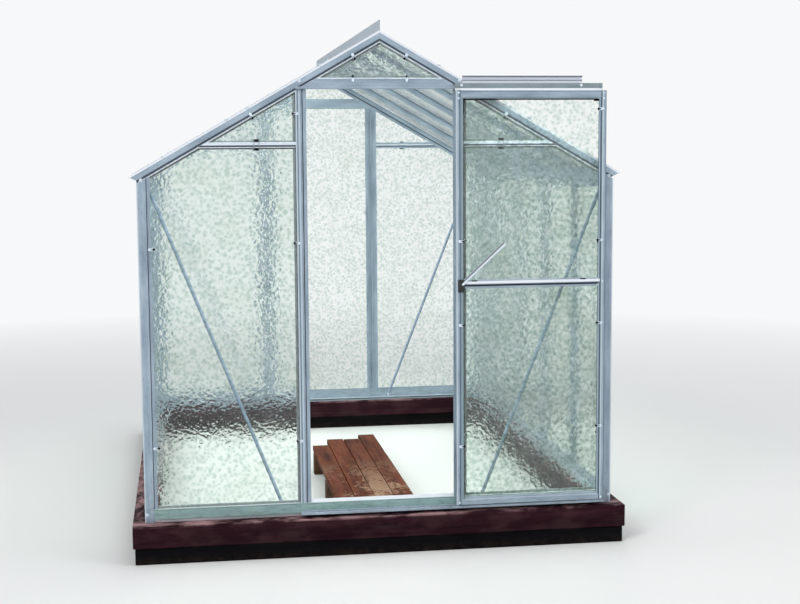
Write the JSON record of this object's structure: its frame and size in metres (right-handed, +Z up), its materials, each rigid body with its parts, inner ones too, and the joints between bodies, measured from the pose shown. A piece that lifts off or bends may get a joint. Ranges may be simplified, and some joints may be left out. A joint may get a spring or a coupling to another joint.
{
  "type": "hobby greenhouse",
  "caption": "Gabled greenhouse of aluminium bars and hammered glass, with a sliding front door on an overhead track, a board walkway and a stained timber plinth.",
  "frame": {"origin": "on the ground in the centre of the plinth", "axes": "X to the right seen from the front, Y from the front gable to the back, Z up"},
  "size_m": [2.03, 2.74, 2.156],
  "materials": {
    "frame_aluminium": "satin, lightly weathered",
    "greenhouse_glass": "hammered relief",
    "stained_timber": "dark purple-brown stain",
    "tarred_timber": "black, matt",
    "walkway_timber": "red-brown, worn",
    "bearer_timber": "rough sawn",
    "roller_nylon": "smooth",
    "black_plastic": "satin",
    "latch_metal": "satin"
  },
  "bodies": {
    "greenhouse": {"bottom_guide": "frame_aluminium", "door_track": "frame_aluminium", "front_header": "frame_aluminium", "back_header": "frame_aluminium", "door_jamb_left": "frame_aluminium", "door_jamb_right": "frame_aluminium", "back_mullions": "frame_aluminium", "front_side_rails": "frame_aluminium", "back_side_rails": "frame_aluminium", "gable_braces": "frame_aluminium", "gable_rafters_left": "frame_aluminium", "gable_rafters_right": "frame_aluminium", "ridge_bar": "frame_aluminium", "eave_beam_left": "frame_aluminium", "eave_beam_right": "frame_aluminium", "front_corner_posts": "frame_aluminium", "back_corner_posts": "frame_aluminium", "sill_front": "frame_aluminium", "sill_back": "frame_aluminium", "side_sills": "frame_aluminium", "wall_bars_left": "frame_aluminium", "wall_bars_right": "frame_aluminium", "roof_bars_left": "frame_aluminium", "roof_bars_right": "frame_aluminium", "front_glass_left": "greenhouse_glass", "front_glass_right": "greenhouse_glass", "front_apex_glass": "greenhouse_glass", "back_side_glass": "greenhouse_glass", "back_middle_glass": "greenhouse_glass", "wall_glass_left": "greenhouse_glass", "wall_glass_right": "greenhouse_glass", "roof_glass_left": "greenhouse_glass", "roof_glass_right": "greenhouse_glass", "plinth_front_beam": "stained_timber", "plinth_back_beam": "stained_timber", "plinth_side_beams": "stained_timber", "lower_course_ends": "tarred_timber", "lower_course_sides": "tarred_timber", "walkway_boards": "walkway_timber", "walkway_bearers": "bearer_timber"},
    "door": {"door_stile_left": "frame_aluminium", "door_stile_right": "frame_aluminium", "door_top_rail": "frame_aluminium", "door_mid_rail": "frame_aluminium", "door_bottom_rail": "frame_aluminium", "door_hanger_bar": "frame_aluminium", "door_glass": "greenhouse_glass", "door_rollers": "roller_nylon", "door_glides": "black_plastic", "latch_block": "black_plastic"},
    "latch": {"latch_arm": "latch_metal"}
  },
  "joints": [
    {"name": "door_slide", "type": "slide", "parent": "greenhouse", "child": "door", "axis": [1, 0, 0], "range_m": [-0.611, 0]},
    {"name": "latch_pivot", "type": "hinge", "parent": "door", "child": "latch", "pos_m": [0.327, -1.365, 1.102], "axis": [0, -1, 0], "range_deg": [-42.8, 47.2]}
  ]
}
